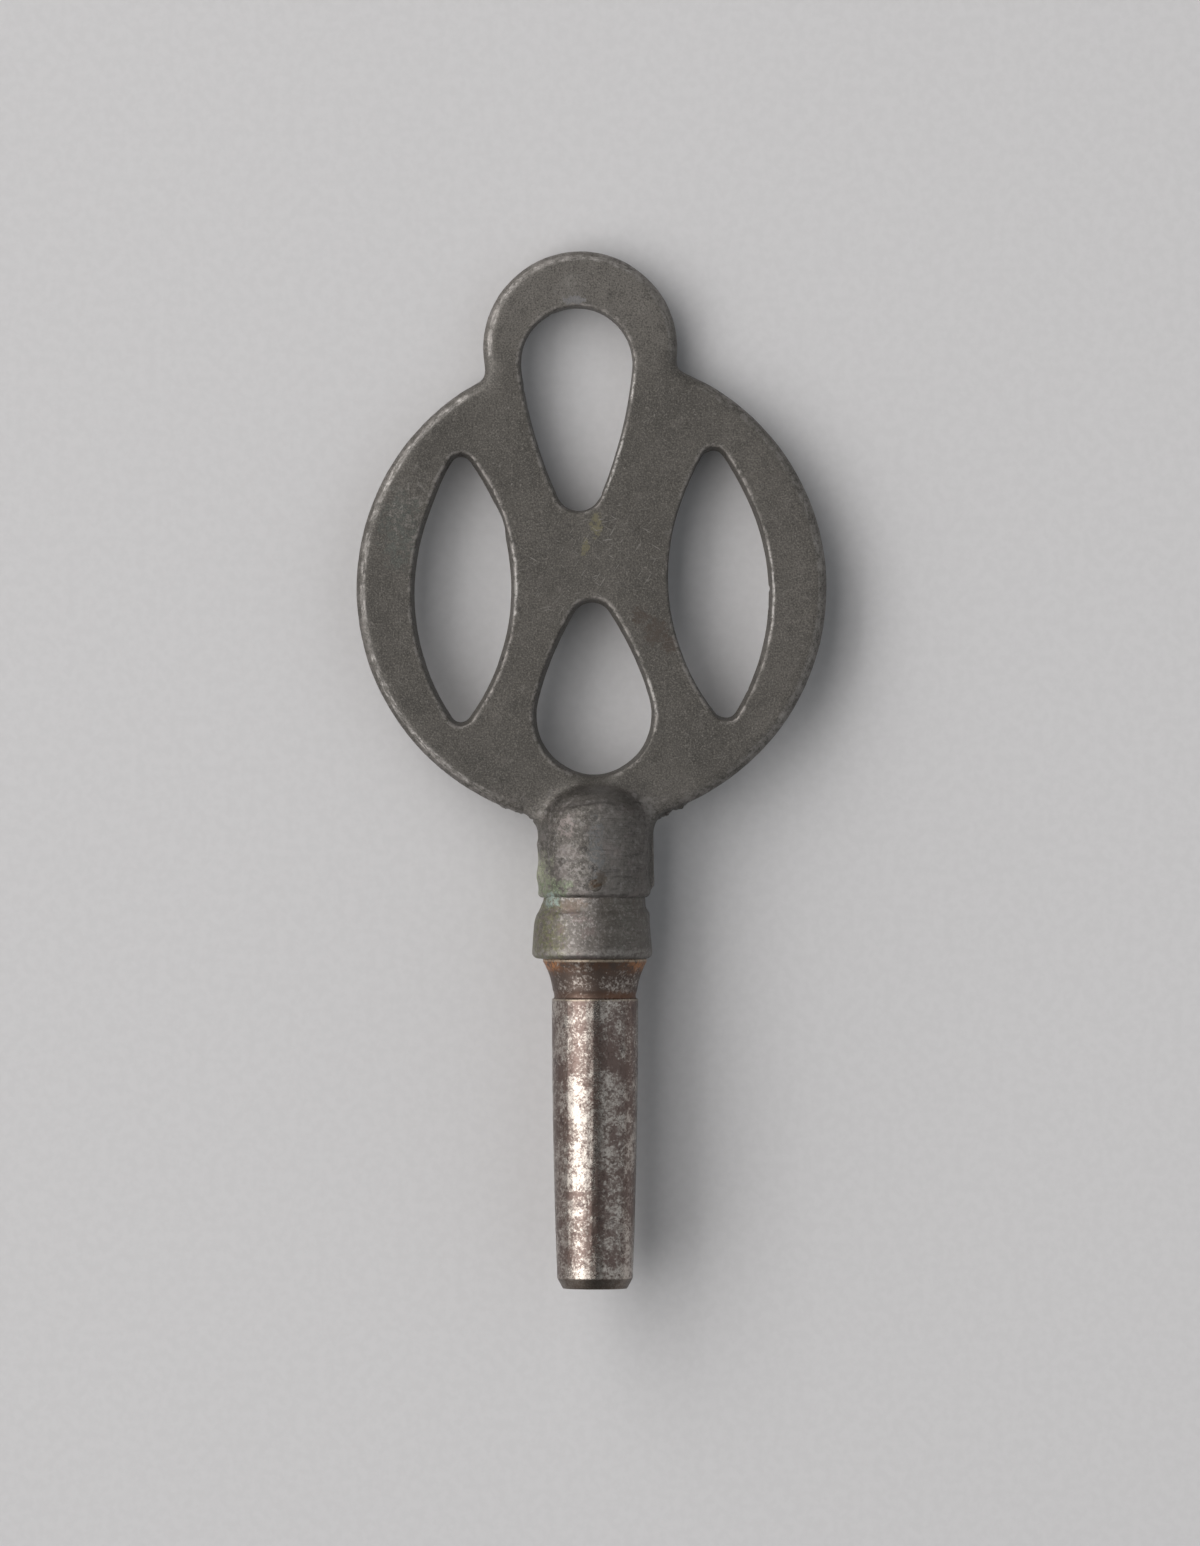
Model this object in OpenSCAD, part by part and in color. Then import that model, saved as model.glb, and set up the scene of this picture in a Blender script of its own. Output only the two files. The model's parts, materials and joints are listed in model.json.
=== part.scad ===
// Clock winding key: a cast ornamental bow with a round socket boss, a flared
// ferrule, a turned pipe with a square socket, and the cross pin that holds them.
// Millimetres. The origin is the centre of the pipe's end face, at the mouth of
// the square socket. +Y runs up the key to the hanging loop, +Z is the bow's front.

/* [Pipe] */
// Length of the tapered body, from the end face up to the step under the neck
pipe_len = 20.3; // [16:0.1:26]
// Diameter of the body just below the step
pipe_top_d = 6.05; // [5.95:0.05:6.8]
// Diameter of the body at the upper edge of the end chamfer
pipe_tip_d = 5.3; // [4.9:0.05:5.8]
// Length of the end chamfer, along the axis
tip_len = 0.75; // [0.3:0.05:1.5]
// Outer diameter of the flat end face
tip_face_d = 4.5; // [4.2:0.05:4.8]
// Diameter at the waist of the neck
neck_d = 5.85; // [5:0.05:5.9]
// Length of the flared neck, from the step to the flange's upper face
neck_len = 2.8; // [2:0.1:4]
// Diameter of the flange that the neck flares out to
flange_d = 7.3; // [6.6:0.05:8]
// Height of the straight edge of the flange
flange_edge = 0.18; // [0.1:0.02:0.4]

/* [Square socket] */
// Width across the flats of the winding square
square_af = 2.75; // [2.25:0.25:3.25]
// Diameter across the rounded corners of the square
square_corner_d = 3.55; // [3.4:0.05:3.7]
// Depth of the square, from the end face
square_depth = 13; // [8:0.5:16]
// Diameter of the drilled hole left beyond the square
drill_d = 2.6; // [1.8:0.1:2.7]
// Length of the drilled hole beyond the square, to the start of its point
drill_past = 1.5; // [0.5:0.1:2.5]
// Diameter of the countersink at the mouth
mouth_d = 3.75; // [3.72:0.01:3.95]
// Depth of the countersink for each millimetre of its radius
mouth_slope = 0.7; // [0.5:0.05:1]
// Depth of the drill's point for each millimetre of its radius
drill_slope = 0.6; // [0.4:0.05:0.8]

/* [Tang] */
// Diameter of the tang above the flange, inside the ferrule and the boss
tang_d = 4.2; // [3.6:0.05:4.8]
// Length of the tang above the flange
tang_len = 8.4; // [6.6:0.1:9]
// Chamfer on the tang's end
tang_chamfer = 0.4; // [0.1:0.05:0.6]
// Space all round the tang in the ferrule and in the boss
tang_clear = 0.02; // [0.01:0.01:0.06]
// Space left above the tang's end in the boss
tang_end_gap = 0.3; // [0.1:0.05:0.6]

/* [Ferrule] */
// Length of the ferrule between the flange and the boss
ferrule_len = 4.25; // [3.2:0.05:5]
// Diameter of the narrow groove at the ferrule's upper end
groove_d = 7.1; // [6.4:0.05:7.4]
// Height of the groove, from the seam down to the shoulder
groove_len = 0.8; // [0.4:0.05:1.2]
// Diameter of the ferrule at its rounded shoulder
shoulder_d = 8.05; // [7.7:0.05:8.3]
// Rounding of the shoulder
shoulder_r = 0.45; // [0.2:0.05:0.6]
// Diameter of the ferrule at its lower lip
lip_d = 8.45; // [8.1:0.05:9]
// Chamfer under the lip
lip_chamfer = 0.26; // [0.1:0.02:0.4]

/* [Boss] */
// Diameter of the socket boss
boss_d = 7.8; // [7.4:0.05:8.2]
// Length of the boss, from the seam to the top of its rounded end
boss_len = 7.85; // [7:0.05:9]
// Rounding of the boss's end
end_r = 2.9; // [2:0.05:3.5]
// Chamfer on the boss at the seam
seam_chamfer = 0.25; // [0.05:0.05:0.4]
// How far the mould seam stands out on both sides of the boss
mould_rise = 0.12; // [0.05:0.01:0.3]
// Thickness of the mould seam
mould_t = 0.9; // [0.4:0.1:1.6]
// Distance of the mould seam's end from the seam with the ferrule
mould_gap = 0.5; // [0.3:0.05:1]
// Corner cut on the mould seam's end
mould_corner = 0.3; // [0.1:0.05:0.5]

/* [Bow plate] */
// Thickness of the plate
plate_t = 2.2; // [1.6:0.1:2.8]
// Rounding of the plate's outer edges
edge_r = 0.6; // [0.2:0.05:0.75]
// Lean of the whole bow to the left of the pipe's axis, in degrees
bow_lean = 1; // [0:0.1:3]
// Diameter of the round part of the bow
ring_d = 32.9; // [31.5:0.1:36]
// How far the round part's lower edge reaches below the top of the boss's end
ring_sink = 2.65; // [2.2:0.05:3.2]
// Diameter of the hanging loop
loop_d = 13.6; // [13:0.1:15]
// Height of the loop's centre above the top of the round part
loop_rise = 0.35; // [-0.5:0.01:1]
// How far the loop sits to the left of the bow's middle
loop_shift = 0.5; // [0:0.05:1.2]
// Radius in the corners between the loop and the round part
loop_fillet = 0.5; // [0.2:0.05:1.2]
// Radius in the corners between the round part and the boss
foot_fillet = 1.1; // [0.5:0.05:2]
// How far the plate's foot stands out beyond the mould seam
foot_step = 0.12; // [0.05:0.01:0.3]

/* [Openings in the bow] */
// Width of metal over the top of the hanging eye
loop_rim = 3.85; // [3.2:0.05:4.5]
// Diameter of the round head of the hanging eye
upper_head_d = 8.05; // [7.4:0.05:8.6]
// Diameter of the narrow end of the hanging eye
upper_tail_d = 3.5; // [2.4:0.05:4.4]
// Overall length of the hanging eye
upper_len = 14.45; // [12.5:0.05:15.5]
// Radius of the slightly curved sides of the hanging eye
upper_side_r = 31; // [20:1:80]
// How far the hanging eye sits to the left of the loop's middle
upper_shift = 0.27; // [0:0.01:0.6]
// Width of metal between the boss's end and the lower drop
foot_rim = 0.58; // [0.4:0.02:1.2]
// Diameter of the round head of the lower drop
lower_head_d = 8.6; // [7.6:0.05:9]
// Diameter of the narrow end of the lower drop
lower_tail_d = 3.4; // [2.4:0.05:4.2]
// Overall length of the lower drop
lower_len = 12.5; // [10:0.05:13]
// Radius of the curved sides of the lower drop
lower_side_r = 23; // [16:1:60]
// Width of the rim outside the two side eyes
rim_w = 3.8; // [3.2:0.05:4.6]
// Width of a side eye
eye_w = 7.3; // [6:0.05:7.8]
// Overall length of a side eye
eye_len = 18.95; // [15:0.05:20]
// Radius of the ends of a side eye
eye_end_r = 1; // [0.6:0.05:1.4]
// Lean of a side eye's upper end towards the middle, in degrees
eye_lean = 2; // [0:0.1:4]

/* [Cross pin] */
// Diameter of the cross pin
pin_d = 1; // [0.8:0.05:1.2]
// Height of the cross pin above the seam
pin_rise = 0.95; // [0.9:0.05:1.4]
// Space all round the cross pin in the boss and the tang
pin_clear = 0.01; // [0.01:0.01:0.03]

/* [Hidden] */
$fn = 96;
// Steps in which the very slight curve of the pipe's side is drawn
taper_steps = 10;
// Overlap that takes a cutter past the face it opens
past = 1;

// Heights along the key's axis
seat_y = pipe_len + neck_len;
seam_y = seat_y + ferrule_len;
end_y = seam_y + boss_len;
pin_y = seam_y + pin_rise;
tang_bore_d = tang_d + 2 * tang_clear;

// Heights of the bow's features above the top of the boss, along the leaning axis
ring_h = ring_d / 2 - ring_sink;
loop_h = ring_h + ring_d / 2 + loop_rise;
upper_head_h = loop_h + loop_d / 2 - loop_rim - upper_head_d / 2;
upper_tail_h = upper_head_h + upper_head_d / 2 - upper_len + upper_tail_d / 2;
lower_head_h = foot_rim + lower_head_d / 2;
lower_tail_h = lower_head_h - lower_head_d / 2 + lower_len - lower_tail_d / 2;
eye_x = ring_d / 2 - rim_w - eye_w / 2;
mould_x = boss_d / 2 + mould_rise;

// Radius of an arc that leaves a straight line smoothly and has moved sideways by
// "aside" after running "along" it
function leaving_r(along, aside) = (along * along + aside * aside) / (2 * aside);

// Centre, on the +X side, of the circle at distance ra from a and rb from b, where
// a and b lie on the Y axis and b is above a
function third_corner(ya, yb, ra, rb) =
    let (d = yb - ya, up = (d * d + ra * ra - rb * rb) / (2 * d))
    [sqrt(ra * ra - up * up), ya + up];

// Turns a flat profile (X is the radius, Y the height) about the key's axis
module turned() {
    rotate([-90, 0, 0]) rotate_extrude() children();
}

// Places the bow's flat shapes: their origin is the top of the boss's rounded end
module leaned() {
    translate([0, end_y, 0]) rotate([0, 0, bow_lean]) children();
}

// A closed outline of four smoothly joined arcs: an end of radius r1 at height h1, an
// end of radius r2 at the greater height h2, and two sides of radius side_r
module four_arcs(h1, r1, h2, r2, side_r) {
    centre = third_corner(h1, h2, side_r - r1, side_r - r2);
    low = h1 - r1 * (centre[1] - h1) / (side_r - r1);
    high = h2 + r2 * (h2 - centre[1]) / (side_r - r2);
    reach = side_r - centre[0];
    translate([0, h1]) circle(r1);
    translate([0, h2]) circle(r2);
    intersection() {
        translate([centre[0], centre[1]]) circle(side_r, $fn = 4 * $fn);
        translate([-centre[0], centre[1]]) circle(side_r, $fn = 4 * $fn);
        translate([-reach - past, low]) square([2 * (reach + past), high - low]);
    }
}

// A flat disc with both rims rounded
module rounded_disc(r) {
    rotate_extrude() {
        translate([0, -plate_t / 2]) square([r - edge_r, plate_t]);
        translate([0, edge_r - plate_t / 2]) square([r, plate_t - 2 * edge_r]);
        for (side = [-1, 1])
            translate([r - edge_r, side * (plate_t / 2 - edge_r)]) circle(edge_r);
    }
}

// The two corners between the loop and the round part, filled to a radius
module loop_corners() {
    rise = loop_h - ring_h;
    apart = norm([rise, loop_shift]);
    centre = third_corner(0, apart, ring_d / 2 + loop_fillet, loop_d / 2 + loop_fillet);
    translate([0, ring_h]) rotate(atan2(loop_shift, rise))
        for (side = [-1, 1]) difference() {
            polygon([[0, 0], [side * centre[0], centre[1]], [0, apart]]);
            translate([side * centre[0], centre[1]]) circle(loop_fillet);
        }
}

// The foot of the plate beside the boss: the filled corners under the round part
module foot() {
    fillet_x = mould_x + foot_step + foot_fillet;
    reach = ring_d / 2 + foot_fillet;
    fillet_h = ring_h - sqrt(reach * reach - fillet_x * fillet_x);
    difference() {
        polygon([[-fillet_x, fillet_h], [fillet_x, fillet_h], [0, ring_h]]);
        for (side = [-1, 1]) translate([side * fillet_x, fillet_h]) circle(foot_fillet);
    }
}

// The thin mould seam down both sides of the boss, ending short of the ferrule
module mould_seam() {
    low = mould_gap - boss_len;
    high = -ring_sink / 2;
    linear_extrude(mould_t, center = true)
        polygon([[-mould_x, high], [-mould_x, low + mould_corner], [mould_corner - mould_x, low],
                 [mould_x - mould_corner, low], [mould_x, low + mould_corner], [mould_x, high]]);
}

// The four openings: the hanging eye, the lower drop and the two side eyes
module openings() {
    eye_reach = eye_len / 2 - eye_end_r;
    eye_side_r = leaving_r(eye_reach, eye_w / 2 - eye_end_r) + eye_end_r;
    translate([-loop_shift - upper_shift, 0])
        four_arcs(upper_tail_h, upper_tail_d / 2, upper_head_h, upper_head_d / 2, upper_side_r);
    four_arcs(lower_head_h, lower_head_d / 2, lower_tail_h, lower_tail_d / 2, lower_side_r);
    for (side = [-1, 1])
        translate([side * eye_x, ring_h]) rotate(side * eye_lean)
            four_arcs(-eye_reach, eye_end_r, eye_reach, eye_end_r, eye_side_r);
}

// The plate: round part, loop and foot, less the openings
module plate() {
    difference() {
        union() {
            translate([0, ring_h, 0]) rounded_disc(ring_d / 2);
            translate([-loop_shift, loop_h, 0]) rounded_disc(loop_d / 2);
            linear_extrude(plate_t, center = true) loop_corners();
            linear_extrude(plate_t, center = true) foot();
        }
        linear_extrude(plate_t + 2 * past, center = true) openings();
    }
}

// The round boss: a cylinder, chamfered at the seam and rounded at its other end
module boss() {
    r = boss_d / 2;
    turned() {
        polygon([[0, seam_y], [r - seam_chamfer, seam_y], [r, seam_y + seam_chamfer],
                 [r, end_y - end_r], [0, end_y - end_r]]);
        translate([0, seam_y + seam_chamfer]) square([r - end_r, boss_len - seam_chamfer]);
        translate([r - end_r, end_y - end_r]) intersection() {
            circle(end_r);
            square(end_r);
        }
    }
}

// The hole for the cross pin, right through from front to back
module pin_hole() {
    translate([0, pin_y, 0])
        cylinder(d = pin_d + 2 * pin_clear, h = boss_d + 2 * past, center = true);
}

// The square socket: countersunk mouth, square with rounded corners, drilled end
module socket() {
    rotate([-90, 0, 0]) {
        translate([0, 0, -past]) intersection() {
            translate([-square_af / 2, -square_af / 2, 0])
                cube([square_af, square_af, square_depth + past]);
            cylinder(d = square_corner_d, h = square_depth + past);
        }
        translate([0, 0, -mouth_slope * past])
            cylinder(d1 = mouth_d + 2 * past, d2 = 0, h = mouth_slope * (mouth_d / 2 + past));
        translate([0, 0, square_depth - past]) cylinder(d = drill_d, h = drill_past + past);
        translate([0, 0, square_depth + drill_past])
            cylinder(d1 = drill_d, d2 = 0, h = drill_d * drill_slope / 2);
    }
}

// The casting: the ornamental plate and the boss in one piece, bored for the tang
module bow() {
    color([0.39, 0.37, 0.35]) difference() {
        union() {
            leaned() plate();
            leaned() mould_seam();
            boss();
        }
        turned() translate([0, seam_y - past])
            square([tang_bore_d / 2, seat_y + tang_len + tang_end_gap - seam_y + past]);
        pin_hole();
    }
}

// The profile of the ferrule: lip, slightly tapered side, rounded shoulder and groove
module ferrule_profile() {
    bore_r = tang_bore_d / 2;
    lip_r = lip_d / 2;
    top_r = shoulder_d / 2;
    shoulder_y = seam_y - groove_len;
    polygon([[bore_r, seat_y], [lip_r - lip_chamfer, seat_y], [lip_r, seat_y + lip_chamfer],
             [top_r, shoulder_y - shoulder_r], [bore_r, shoulder_y - shoulder_r]]);
    translate([bore_r, seat_y]) square([top_r - shoulder_r - bore_r, shoulder_y - seat_y]);
    translate([top_r - shoulder_r, shoulder_y - shoulder_r]) circle(shoulder_r);
    translate([bore_r, seat_y]) square([groove_d / 2 - bore_r, ferrule_len]);
}

// The flared ring clamped between the flange and the boss
module ferrule() {
    color([0.44, 0.41, 0.36]) turned() ferrule_profile();
}

// The profile of the pipe's tapered body, curving in slightly towards the tip
module body_profile() {
    top_r = pipe_top_d / 2;
    taper_len = pipe_len - tip_len;
    curve_r = leaving_r(taper_len, (pipe_top_d - pipe_tip_d) / 2);
    side = [for (i = [0 : taper_steps])
        let (down = taper_len * (1 - i / taper_steps))
        [top_r - curve_r + sqrt(curve_r * curve_r - down * down), pipe_len - down]];
    polygon(concat([[0, 0], [tip_face_d / 2, 0]], side, [[0, pipe_len]]));
}

// The profile of the neck, hollowed out below the flange's edge
module neck_profile() {
    hollow_r = leaving_r(neck_len - flange_edge, (flange_d - neck_d) / 2);
    difference() {
        translate([0, pipe_len]) square([flange_d / 2, neck_len]);
        translate([neck_d / 2 + hollow_r, pipe_len]) circle(hollow_r, $fn = 4 * $fn);
    }
}

// The profile of the tang, from the flange into the boss
module tang_profile() {
    polygon([[0, seat_y], [tang_d / 2, seat_y], [tang_d / 2, seat_y + tang_len - tang_chamfer],
             [tang_d / 2 - tang_chamfer, seat_y + tang_len], [0, seat_y + tang_len]]);
}

// The turned steel pipe: body, neck, flange and tang, with the square socket
module pipe() {
    color([0.56, 0.53, 0.51]) difference() {
        turned() {
            body_profile();
            neck_profile();
            tang_profile();
        }
        socket();
        pin_hole();
    }
}

// The cross pin, dressed flush with the boss at both ends
module cross_pin() {
    color([0.34, 0.26, 0.21]) intersection() {
        translate([0, pin_y, 0]) cylinder(d = pin_d, h = boss_d + 2 * past, center = true);
        rotate([-90, 0, 0]) cylinder(d = boss_d, h = end_y);
    }
}

bow();
ferrule();
pipe();
cross_pin();
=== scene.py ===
"""Clock winding key on a pale table: a cast bow, a flared ferrule, a worn steel pipe and a cross pin.

Places and sizes on the key are millimetres in the frame's axes: y runs up the key from the end of the pipe,
and z comes out of the bow's front. Lamps and floor are in metres.
"""

import json
import math

import bmesh
import bpy
import numpy as np
from mathutils import Matrix, Vector, noise


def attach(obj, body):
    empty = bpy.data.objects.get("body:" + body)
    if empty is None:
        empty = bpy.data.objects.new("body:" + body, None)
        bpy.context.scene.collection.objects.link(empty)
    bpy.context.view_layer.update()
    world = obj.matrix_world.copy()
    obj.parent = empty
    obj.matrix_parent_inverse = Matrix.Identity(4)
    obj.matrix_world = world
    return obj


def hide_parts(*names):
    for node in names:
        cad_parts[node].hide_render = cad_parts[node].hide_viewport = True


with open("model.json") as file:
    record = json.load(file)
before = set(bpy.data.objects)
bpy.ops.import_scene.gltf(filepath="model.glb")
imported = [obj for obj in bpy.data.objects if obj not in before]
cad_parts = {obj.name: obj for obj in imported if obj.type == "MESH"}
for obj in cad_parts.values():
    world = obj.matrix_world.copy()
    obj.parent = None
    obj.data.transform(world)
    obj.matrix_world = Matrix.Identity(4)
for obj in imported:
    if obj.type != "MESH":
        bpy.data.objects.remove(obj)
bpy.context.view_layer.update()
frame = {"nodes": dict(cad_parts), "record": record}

MM = 0.001

# The photograph: millimetres to a pixel, its size, and the pixel of the pipe's end face on the key's axis
PIXEL_MM = 0.07
PHOTO_SIZE = (1200, 1546)
PIPE_END_PIXEL = (595, 1288.5)

# Camera
SENSOR_MM = 36
CAMERA_HEIGHT_MM = 1000

# Floor
FLOOR_HALF_SIDE = 2.0
FLOOR_COLOUR = (0.588, 0.580, 0.584)

# Lamps: their colours, the distance and length that they share, and the place on the key's axis they aim at
DAYLIGHT = (1.0, 0.988, 0.978)
SKYLIGHT = (0.94, 0.98, 1.015)
LAMP_DISTANCE = 1.6
LAMP_LENGTH = 3.6
LAMP_AIM_MM = 15
# Each lamp's angles from straight above, sideways and towards the key's top, its width, radiance and colour
LAMPS = {
    "window": (-48, 17, 0.72, 3.47, DAYLIGHT),
    "ceiling": (-24, 17, 0.7, 1.75, DAYLIGHT),
    "wall": (-70, 10, 0.56, 1.62, DAYLIGHT),
    "fill": (51, 0, 2.1, 0.5, SKYLIGHT),
}
ROOM_STRENGTH = 0.05

# The bow touches the table at least this far beyond the ferrule's lip
CLEAR_OF_LIP_MM = 10

# Mesh size of the weathered pieces, in millimetres, and the passes that round their edges
CASTING_VOXEL_MM = 0.1
CASTING_ROUNDING = 4
FERRULE_VOXEL_MM = 0.08
FERRULE_ROUNDING = 14
PIPE_VOXEL_MM = 0.06
PIPE_ROUNDING = 2
PIN_VOXEL_MM = 0.05
PIN_ROUNDING = 3

# Share of the way that a point moves to its neighbours in a pass, and the passes that melt the casting's
# corners, soften the ferrule's groove, and measure how far a surface bulges beyond its surroundings
RELAX_SHARE = 0.5
CORNER_PASSES = 80
GROOVE_PASSES = 45
BULGE_PASSES = 40

# Unevenness of the skins: depth and size of the lumps in millimetres, and the seed of their random numbers
CASTING_LUMPS = ((0.03, 3.5, 11), (0.012, 0.9, 23))
BOSS_LUMPS = ((0.07, 1.4, 27),)
FERRULE_LUMPS = ((0.03, 2.2, 71), (0.014, 0.6, 73))
PIPE_LUMPS = ((0.012, 1.5, 83),)

# Centre and radius of the bow's round part and of its loop, and the soft corners between them
ROUND_MM = ((-0.24, 49.0), 16.45)
LOOP_MM = ((-1.03, 65.8), 6.8)
LOOP_CORNERS_MM = ((-7.5, 63.8), (5.8, 63.9))
# Width of the crowned border inside the bow's outline, and the share of the thickness it loses
CROWN_MM = 1.0
CROWN_DROP = 0.16
# How far the openings' walls swell towards the plate's middle plane, and the shares that the right eye's
# inner wall and the hanging eye lack
WALL_SWELL_MM = 0.28
INNER_WALL_LACK = 0.85
HANGING_EYE_LACK = 0.5
# Upper ends of the two side eyes, and how far each lies off its drawn place
EYE_ENDS_MM = (((-9.2, 58.3), (-0.28, 0.14)), ((8.3, 58.7), (0.0, 0.3)))

# The fine arc across the boss's upper end: its centre, and the radius and height of its ridge and of the line
# pressed in below it
ARC_CENTRE_MM = (0.2, 27.7)
ARC_RIDGE_MM = 6.9
ARC_RIDGE_HEIGHT_MM = 0.03
ARC_LINE_MM = 6.35
ARC_LINE_DEPTH_MM = 0.035
# Pits in the boss's skin, the crust down its left side, the ragged flash beside the plate's foot and the
# nicks in the plate's rim
SKIN_PITS_MM = 0.14
BOSS_CRUST_MM = 0.12
FLASH_MM = 0.36
NICKS_MM = 0.25
PLATE_FOOT_MM = (5.3, 33.4)

# Places on the bow's face: brown smears and brassy spots, each with its radius
BROWN_SMEARS_MM = (((3.2, 47.0), 0.6), ((4.2, 46.0), 0.8), ((5.2, 45.1), 0.6))
BRASSY_SPOTS_MM = (((0.1, 53.4), 0.6), ((-0.7, 51.8), 0.45))
# Scuffs on the bow's web: angle and length of each set of strokes, and their width
SCUFFS = ((58, 1.6), (-33, 1.1), (12, 1.4))
SCUFF_WIDTH_MM = 0.10
# Stretches of the openings' right-hand edges, which face the light, made pale as metal worn by use and as
# painted highlight: middle, radius, and how far the spot is drawn out
LIT_POLISHED_EDGES_MM = (
    ((1.4, 58.0), 1.0, (0.9, 3.2, 1)),
    ((2.5, 63.5), 0.8, (0.6, 1.6, 1)),
    ((12.1, 48.6), 1.0, (0.6, 3.2, 1)),
    ((3.8, 41.2), 0.9, (0.8, 1.8, 1)),
    ((-6.0, 49.5), 1.0, (0.6, 2.6, 1)),
)
# Small dark pits in the boss, each with its radius
DARK_PITS_MM = (((-2.6, 34.0, 1.9), 0.5), ((-0.1, 29.5, 3.9), 0.3), ((-0.8, 30.8, 3.8), 0.25))

# How far the ferrule's upper end reaches up under the boss, so that no gap stays open, how far its groove is
# filled in front and crusted at the left, and how far the ring sits to the left of the axis
GROOVE_CLOSING_MM = 0.25
GROOVE_FILLING_MM = 0.22
GROOVE_CRUST_MM = 0.2
FERRULE_SHIFT_MM = 0.2

# The step under the pipe's neck, and how far its corner is deepened
NECK_FOOT_MM = 20.3
NECK_CORNER_MM = 0.08
# Rubbed places on the pipe, each with its radius
RUBBED_STEEL_MM = (((-1.1, 13.2, 2.7), 1.5), ((-1.1, 8.4, 2.6), 1.2))

# The cross pin closes its hole in the boss: its width there, and its length, against the CAD's
PIN_PLUG = (1.15, 1.15, 0.99)
PIN_PROUD = (1.0, 1.0, 1.006)


# Meshes as number arrays


def vertex_array(mesh):
    co = np.empty(len(mesh.vertices) * 3)
    mesh.vertices.foreach_get("co", co)
    return co.reshape(-1, 3)


def normal_array(mesh):
    out = np.empty(len(mesh.vertices) * 3)
    mesh.vertex_normals.foreach_get("vector", out)
    return out.reshape(-1, 3)


def edge_array(mesh):
    pairs = np.empty(len(mesh.edges) * 2, dtype=np.int32)
    mesh.edges.foreach_get("vertices", pairs)
    return pairs.reshape(-1, 2)


def place_vertices(mesh, co):
    mesh.vertices.foreach_set("co", co.ravel())
    mesh.update()


def pushed(mesh, co, push_mm):
    """The points moved along the mesh's normals, each by its own distance."""
    return co + normal_array(mesh) * (push_mm * MM)[:, None]


def relaxed(points, pairs, passes, share=RELAX_SHARE):
    """The points after moving, several times, a share of the way to the mean of their neighbours."""
    a, b = pairs.T
    size = len(points)
    count = np.bincount(pairs.ravel(), minlength=size)[:, None]
    for _ in range(passes):
        total = [np.bincount(a, points[b, i], size) + np.bincount(b, points[a, i], size) for i in range(3)]
        points = points + share * (np.stack(total, axis=1) / count - points)
    return points


def ramp(values, low, high):
    """0 at low, 1 at high, smooth between; high may be below low."""
    t = np.clip((values - low) / (high - low), 0, 1)
    return t * t * (3 - 2 * t)


def planar(points_mm, centre):
    """Distance of points from a place on the key's front, whatever their height."""
    return np.hypot(points_mm[:, 0] - centre[0], points_mm[:, 1] - centre[1])


def lumps(points_mm, size_mm, seed):
    """Smooth random numbers, about -1 to 1, that vary over a size."""
    shift = Vector((seed, 0.37 * seed, 1.7 * seed))
    return np.array([noise.noise(Vector(p) / size_mm + shift) for p in points_mm])


def uneven(points_mm, layers):
    """Random heights in millimetres, from layers of lumps."""
    return sum(depth * lumps(points_mm, size, seed) for depth, size, seed in layers)


# Places from the frame


def mount_mm(name):
    """Place of one of the record's mounts, in millimetres."""
    mount = next(m for m in frame["record"]["mounts"] if m["name"] == name)
    return [c / MM for c in mount["pos_m"]]


def rest_plane():
    """Matrix of the table: the key lies on the ferrule's lip and on the far end of its loop."""
    ferrule = vertex_array(frame["nodes"]["ferrule"].data)
    bow = vertex_array(frame["nodes"]["bow"].data)
    lip = ferrule[ferrule[:, 2].argmin()]
    ahead = bow[bow[:, 1] > lip[1] + CLEAR_OF_LIP_MM * MM] - lip
    slope = (ahead[:, 2] / ahead[:, 1]).min()
    place = Matrix.Translation((0, lip[1], lip[2]))
    return place @ Matrix.Rotation(math.atan(slope), 4, "X")


FACE_MM = mount_mm("bow_front")[2]
HANGING_EYE_X_MM = mount_mm("hanging_eye")[0]
FERRULE_HEIGHTS_MM = vertex_array(frame["nodes"]["ferrule"].data)[:, 1] / MM
LIP_MM = FERRULE_HEIGHTS_MM.min()
SEAM_MM = FERRULE_HEIGHTS_MM.max()


def on_face(x, y):
    """A place on the bow's front face."""
    return x, y, FACE_MM


# Pieces


def weathered(node, name, voxel_mm, rounding, material, wear, plug=None):
    """Makes a finely meshed copy of a CAD node with softened edges and wear, which stands for the node."""
    piece = bpy.data.objects.new(name, node_mesh(node, plug))
    bpy.context.scene.collection.objects.link(piece)
    remesh = piece.modifiers.new("grain", "REMESH")
    remesh.mode = "VOXEL"
    remesh.voxel_size = voxel_mm * MM
    bake_modifiers(piece)
    mesh = piece.data
    pairs = edge_array(mesh)
    place_vertices(mesh, relaxed(vertex_array(mesh), pairs, rounding))
    wear(mesh, pairs)
    store_bulge(mesh, pairs)
    mesh.polygons.foreach_set("use_smooth", [True] * len(mesh.polygons))
    mesh.materials.append(material)
    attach(piece, "root")
    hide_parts(node)


def node_mesh(node, plug):
    """A copy of a CAD node's mesh; the volume of another node, the plug, closes its hole for it."""
    mesh = frame["nodes"][node].data.copy()
    mesh.materials.clear()
    if plug is not None:
        filler = frame["nodes"][plug].data.copy()
        resize(filler, PIN_PLUG)
        whole = bmesh.new()
        whole.from_mesh(mesh)
        whole.from_mesh(filler)
        whole.to_mesh(mesh)
        whole.free()
        bpy.data.meshes.remove(filler)
    return mesh


def resize(mesh, factors):
    """Scales a mesh about the middle of its box."""
    co = vertex_array(mesh)
    middle = (co.max(axis=0) + co.min(axis=0)) / 2
    place_vertices(mesh, middle + (co - middle) * factors)


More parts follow.
